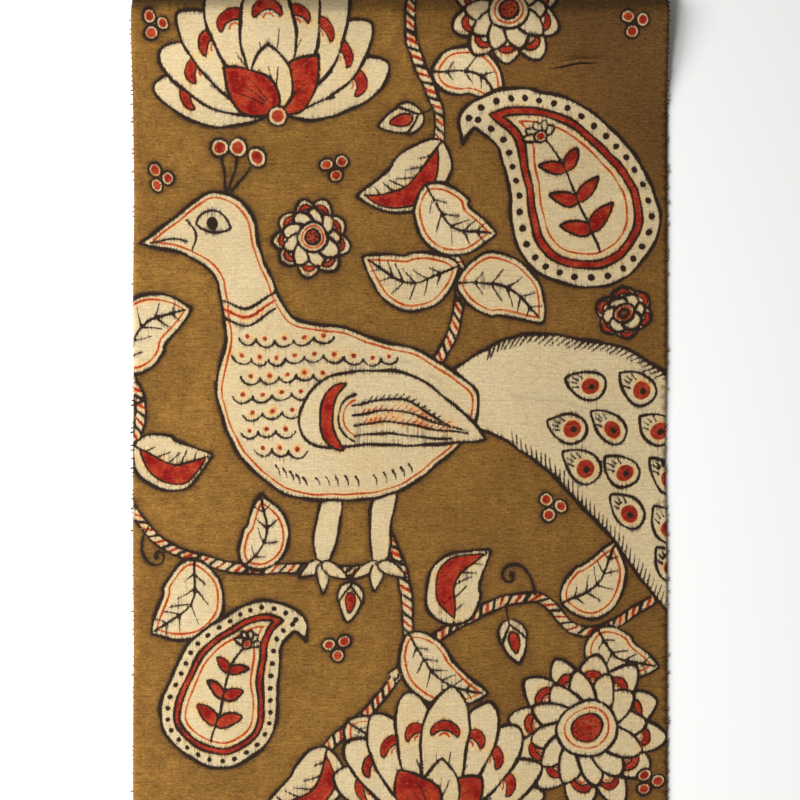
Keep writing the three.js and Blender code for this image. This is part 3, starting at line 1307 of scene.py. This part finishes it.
def ochre_ground(s):
    """The ground, patchy, darker where iron from the pen lines has crept out, with painted shade along
    the head's edge.
    """
    cloudy = s.patches(0.30, 0.34, (11, 2), 4.0, 0.7)
    ground = s.mix(s.ramp(cloudy, 0.34, 0.66), THICK_GROUND, THIN_GROUND)
    ground = s.mix(s.ramp(s.blotch, 0.62, 0.36, 0.0, 0.42), ground, DARK_GROUND)
    wide = s.times(s.ramp(s.ink, REACH, 0.2), s.ramp(s.soak, 0.30, 0.66, 0.05, 0.60))
    ground = s.mix(wide, ground, DARK_GROUND)
    close = s.times(s.ramp(s.ink, 0.80, -0.12), s.ramp(s.soak, 0.30, 0.62, 0.35, 0.85))
    ground = s.mix(s.held(close), ground, HALO_AND_SHADE)
    ground = s.mix(s.ramp(s.specks, 0.66, 0.82, 0.0, 0.45), ground, PALE_GROUND)
    # Denser dye towards the right, and painted shade at the top right corner
    ground = s.mix(s.denser_dye_and_corner_shade, ground, DENSE_AND_SHADED_GROUND)
    # Painted shade along the head's edge, where the roll turns away from the light, most of all at its
    # two corners.
    head_edge_shade = s.times(s.ramp(s.y, 86.4, 89.8), s.ramp(s.x, 10.0, -56.0, 0.14, 0.92))
    painted_head_shade = s.scaled(s.ramp(s.corner, 84.0, 112.0), 0.38, head_edge_shade)
    return s.grained(s.mix(painted_head_shade, ground, HALO_AND_SHADE), GROUND_GRAIN)


def kept_cream(s):
    """The bare cotton, stained yellow and grey, with what has crept and seeped into it."""
    cream = s.mix(s.ramp(s.blotch, 0.36, 0.68, 0.0, 0.6), CREAM, STAINED_CREAM)
    cream = s.mix(s.ramp(s.soak, 0.56, 0.76, 0.0, 0.35), cream, GREY_CREAM)
    beside_orange = s.ramp(s.orange, 0.9, 0.1, 0.0, 0.62)
    glow = s.math("MAXIMUM", beside_orange, s.ramp(s.red, 1.5, 0.3, 0.0, 0.62))
    cream = s.mix(s.times(glow, s.ramp(s.soak, 0.42, 0.62, 0.08, 1.0)), cream, ORANGE_GLOW)
    dirt = s.times(s.ramp(s.specks, 0.58, 0.78, 0.0, 0.75), s.ramp(s.soak, 0.48, 0.64))
    cream = s.grained(s.mix(dirt, cream, SPECK), CREAM_GRAIN)
    smudge = s.ramp(s.attribute("charcoal"), 0.50, -0.40, 0.0, 0.40)
    cream = s.mix(s.times(smudge, s.ramp(s.soak, 0.32, 0.56, 0.2, 1.0)), cream, CHARCOAL)
    # Fine hairs of ink that have crept from its lines along the ends
    wick = s.attribute("wick")
    hairs = s.patches(2.2, 0.09, (9, 0), 2.0, 0.75)
    crept = s.ramp(s.less(wick, s.ramp(hairs, 0.37, 0.67, -0.20, 1.00)), 0.10, -0.30)
    crept = s.times(crept, s.ramp(wick, 1.00, 0.0, 0.20, 0.95))
    crept = s.times(crept, s.ramp(s.soak, 0.36, 0.58, 0.25, 1.0))
    cream = s.mix(s.held(crept), cream, INK_WASH)
    seep = s.times(s.dyed(s.red, 2.0, 0.22, 0.40), s.ramp(s.soak, 0.46, 0.60, 0.0, 0.70))
    return s.mix(s.held(seep), cream, SEEPED_RED)


def red_dye(s):
    """Red, deep in places and worn on the yarns."""
    wear = s.patches(1.05, 1.75, (2, 2), 4.0, 0.75)
    deep = s.patches(0.26, 0.24, (6, 2), 2.0, 0.6)
    thin = s.plus(s.ramp(deep, 0.50, 0.34, 0.0, 0.70), s.ramp(s.red, -0.9, -0.15, 0.0, 0.30))
    red = s.mix(s.ramp(deep, 0.46, 0.62, 0.0, 0.95), RED, DEEP_AND_SHADED_RED)
    # Darker towards the right as dye, and at the top right corner as painted shade
    red = s.mix(s.times(s.denser_dye_and_corner_shade, 0.55), red, DEEP_AND_SHADED_RED)
    red = s.mix(s.times(thin, s.ramp(wear, 0.34, 0.56)), red, THIN_RED)
    return s.grained(s.mix(s.ramp(wear, 0.55, 0.78, 0.0, 0.85), red, WORN_RED), RED_GRAIN)


def dyed_cotton():
    """Cream cotton with an ochre ground, red and orange dye and dark pen lines."""
    material = bpy.data.materials.new("dyed_cotton")
    material.use_nodes = True
    s = Cotton(material)
    colour = s.mix(s.dyed(s.attribute("cream"), 1.0, 0.12), ochre_ground(s), kept_cream(s))
    colour = s.mix(s.held(s.dyed(s.red, 1.0, 0.14)), colour, red_dye(s))
    orange = s.mix(s.ramp(s.soak, 0.32, 0.54), THIN_ORANGE, ORANGE)
    colour = s.mix(s.held(s.dyed(s.orange, 0.55, 0.14)), colour, orange)
    ink = s.mix(s.ramp(s.fibre, 0.56, 0.84, 0.0, 0.35), INK_AND_CREASE_SHADE, INK_WASH)
    colour = s.mix(s.held(s.dyed(s.ink, 0.8, 0.14)), colour, ink)
    colour = s.mix(s.times(s.back, BACK_FADE), colour, BARE_BACK)
    # Painted shade in the sharp crease: its groove is darkened towards the ink's colour.
    colour = s.mix(s.ramp(s.attribute("groove"), 0.12, 0.80), colour, INK_AND_CREASE_SHADE)

    bump = s.node("Bump")
    s.set(bump.inputs["Strength"], 1.0)
    s.set(bump.inputs["Distance"], RELIEF_HEIGHT * MM)
    s.set(bump.inputs["Height"], s.relief)
    surface = material.node_tree.nodes["Principled BSDF"]
    for name, value in (
        ("Base Color", colour),
        ("Normal", bump.outputs[0]),
        ("Roughness", s.scaled(s.fibre, 0.15, 0.82)),
        ("Sheen Weight", 0.01),
        ("Sheen Roughness", 0.5),
        ("Specular IOR Level", 0.06),
    ):
        s.set(surface.inputs[name], value)
    return material


# The stage: a pale floor, soft lights from the left and the foot, the camera straight above

VIEW_WIDTH = 179.8 * MM
LENS = 85.0
SENSOR = 36.0
FLOOR_SIDE = 6.0
FLOOR_COLOUR = (0.86, 0.86, 0.85)
SKY_COLOUR = (1.0, 0.98, 0.95)
SKY_STRENGTH = 0.19
# Lights: place in metres, size and watts. Both point at the middle of the cloth.
LIGHTS = {
    "window": ((-0.285, -0.010, 0.215), 0.22, 1.74),
    "far_window": ((-0.60, -1.40, 0.85), 0.40, 27.0),
}


def make_floor():
    mesh = bpy.data.meshes.new("floor")
    far = FLOOR_SIDE / 2
    corners = [(-far, -far, 0), (far, -far, 0), (far, far, 0), (-far, far, 0)]
    mesh.from_pydata(corners, [], [(0, 1, 2, 3)])
    material = bpy.data.materials.new("pale_floor")
    material.use_nodes = True
    surface = material.node_tree.nodes["Principled BSDF"]
    surface.inputs["Base Color"].default_value = (*FLOOR_COLOUR, 1)
    surface.inputs["Roughness"].default_value = 0.9
    mesh.materials.append(material)
    floor = link_piece(mesh)


def add_light(name, place, size, watts):
    data = bpy.data.lights.new(name, "AREA")
    data.shape = "SQUARE"
    data.size = size
    data.energy = watts
    light = bpy.data.objects.new(name, data)
    light.location = place
    light.rotation_euler = (-Vector(place)).to_track_quat("-Z", "Y").to_euler()
    bpy.context.collection.objects.link(light)


def light_stage():
    scene = bpy.context.scene
    scene.view_settings.view_transform = "Standard"
    world = bpy.data.worlds.new("soft_sky")
    scene.world = world
    world.use_nodes = True
    sky = world.node_tree.nodes["Background"]
    sky.inputs["Color"].default_value = (*SKY_COLOUR, 1)
    sky.inputs["Strength"].default_value = SKY_STRENGTH
    for name, values in LIGHTS.items():
        add_light(name, *values)


def place_camera():
    data = bpy.data.cameras.new("camera")
    data.lens = LENS
    data.sensor_width = SENSOR
    camera = bpy.data.objects.new("camera", data)
    camera.location = (0, 0, VIEW_WIDTH * LENS / SENSOR + THICKNESS * MM)
    bpy.context.collection.objects.link(camera)
    bpy.context.scene.camera = camera


place_camera()
compose()
drawn = finished_marks()
cloth = make_cloth(drawn)
threads = make_threads(drawn)
cotton = dyed_cotton()
for piece in (cloth, threads):
    piece.data.materials.append(cotton)
    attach(piece, "root")
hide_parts("cloth")
make_floor()
light_stage()
